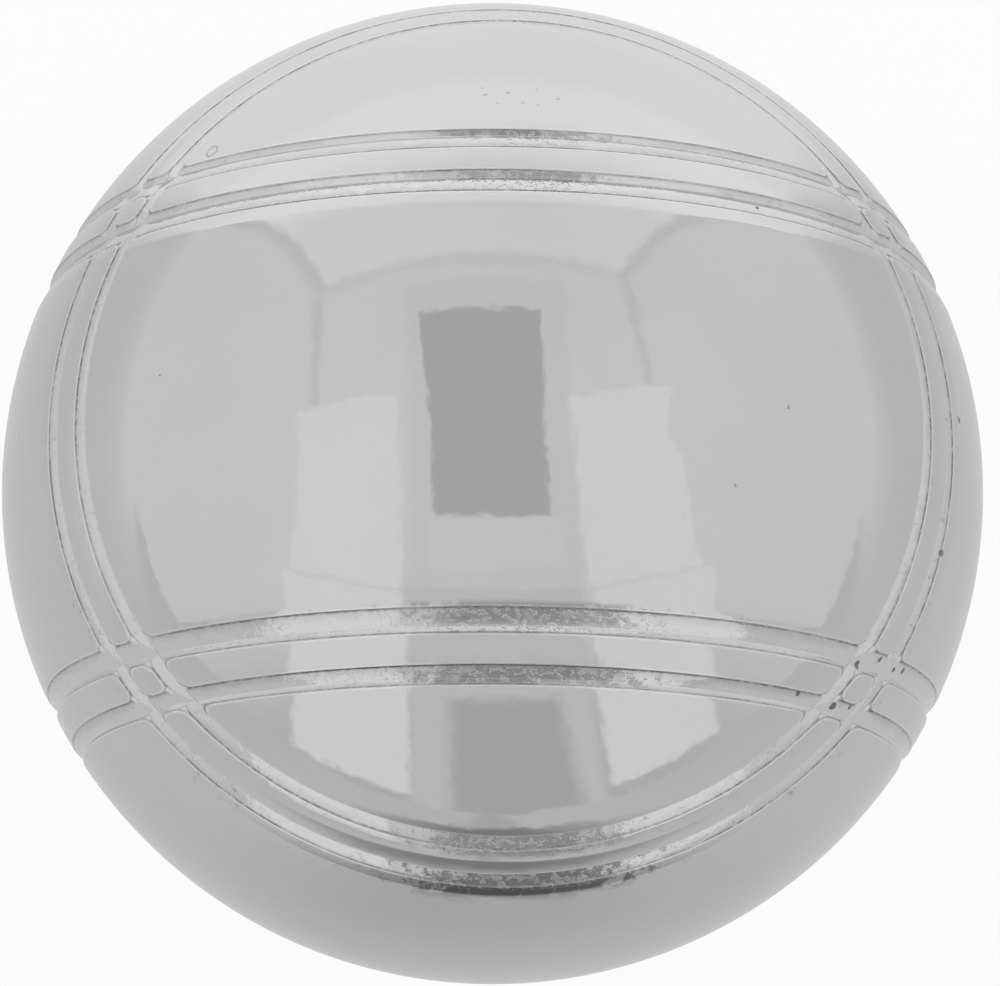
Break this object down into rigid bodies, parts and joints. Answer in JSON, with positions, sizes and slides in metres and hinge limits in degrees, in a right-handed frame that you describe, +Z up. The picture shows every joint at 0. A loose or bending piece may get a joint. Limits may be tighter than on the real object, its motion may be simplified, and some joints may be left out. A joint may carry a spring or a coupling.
{
  "type": "petanque boule",
  "caption": "Chromed steel playing ball with paired turned grooves, two welded half shells and a mortar core.",
  "frame": {"origin": "the centre of the ball", "axes": "+Z up as the ball lies, through the middle of the top pair of grooves; +Y through the middle of the far pair of grooves; X along the line that no groove circles"},
  "size_m": [0.073, 0.073, 0.073],
  "materials": {
    "plated_shell": "polished",
    "plated_weld": "polished",
    "plated_plug": "polished",
    "mortar": "matte"
  },
  "bodies": {
    "root": {"upper_half_shell": "plated_shell", "lower_half_shell": "plated_shell", "seam_weld": "plated_weld", "fill_plug": "plated_plug", "mortar_core": "mortar"}
  },
  "joints": []
}
